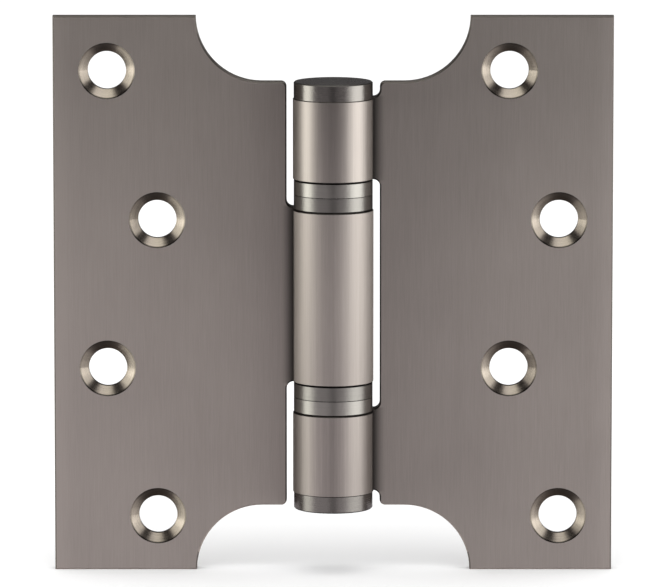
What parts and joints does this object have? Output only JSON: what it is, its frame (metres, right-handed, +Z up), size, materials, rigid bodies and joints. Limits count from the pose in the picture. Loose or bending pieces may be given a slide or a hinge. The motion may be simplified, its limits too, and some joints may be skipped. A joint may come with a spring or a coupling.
{
  "type": "parliament hinge",
  "caption": "Flat parliament hinge with scalloped leaves, rolled knuckles on a ball-bearing barrel and staggered countersunk screw holes; it carries a door clear of its frame.",
  "frame": {"origin": "on the pin axis at mid-height", "axes": "+Z up along the pin, +Y out of the leaves' flat backs, +X towards the frame leaf"},
  "size_m": [0.102, 0.0146, 0.102],
  "materials": {
    "satin_leaf": "satin plated sheet, brushed along the barrel",
    "turned_steel": "turned, fine lines round the barrel",
    "pin_steel": "ground bright steel",
    "ball_steel": "polished bearing steel"
  },
  "bodies": {
    "frame_side": {"frame_leaf": "satin_leaf", "hinge_pin": "pin_steel", "top_cap": "turned_steel", "bottom_cap": "turned_steel", "upper_bearing_upper_race": "turned_steel", "lower_bearing_lower_race": "turned_steel"},
    "door_side": {"door_leaf": "satin_leaf", "upper_bearing_lower_race": "turned_steel", "lower_bearing_upper_race": "turned_steel"},
    "upper_balls": {"upper_ball_1": "ball_steel", "upper_ball_2": "ball_steel", "upper_ball_3": "ball_steel", "upper_ball_4": "ball_steel", "upper_ball_5": "ball_steel", "upper_ball_6": "ball_steel", "upper_ball_7": "ball_steel", "upper_ball_8": "ball_steel", "upper_ball_9": "ball_steel", "upper_ball_10": "ball_steel", "upper_ball_11": "ball_steel", "upper_ball_12": "ball_steel", "upper_ball_13": "ball_steel", "upper_ball_14": "ball_steel", "upper_ball_15": "ball_steel"},
    "lower_balls": {"lower_ball_1": "ball_steel", "lower_ball_2": "ball_steel", "lower_ball_3": "ball_steel", "lower_ball_4": "ball_steel", "lower_ball_5": "ball_steel", "lower_ball_6": "ball_steel", "lower_ball_7": "ball_steel", "lower_ball_8": "ball_steel", "lower_ball_9": "ball_steel", "lower_ball_10": "ball_steel", "lower_ball_11": "ball_steel", "lower_ball_12": "ball_steel", "lower_ball_13": "ball_steel", "lower_ball_14": "ball_steel", "lower_ball_15": "ball_steel"}
  },
  "joints": [
    {"name": "leaf_swing", "type": "hinge", "parent": "frame_side", "child": "door_side", "pos_m": [0, 0, 0], "axis": [0, 0, 1], "range_deg": [-128, 180]},
    {"name": "upper_ball_orbit", "type": "hinge", "parent": "frame_side", "child": "upper_balls", "pos_m": [0, 0, 0.01862], "axis": [0, 0, 1], "range_deg": [-64, 90]},
    {"name": "lower_ball_orbit", "type": "hinge", "parent": "frame_side", "child": "lower_balls", "pos_m": [0, 0, -0.01862], "axis": [0, 0, 1], "range_deg": [-64, 90]}
  ],
  "couplings": [
    {"joint": "upper_ball_orbit", "follows": "leaf_swing", "ratio": 0.5},
    {"joint": "lower_ball_orbit", "follows": "leaf_swing", "ratio": 0.5}
  ]
}
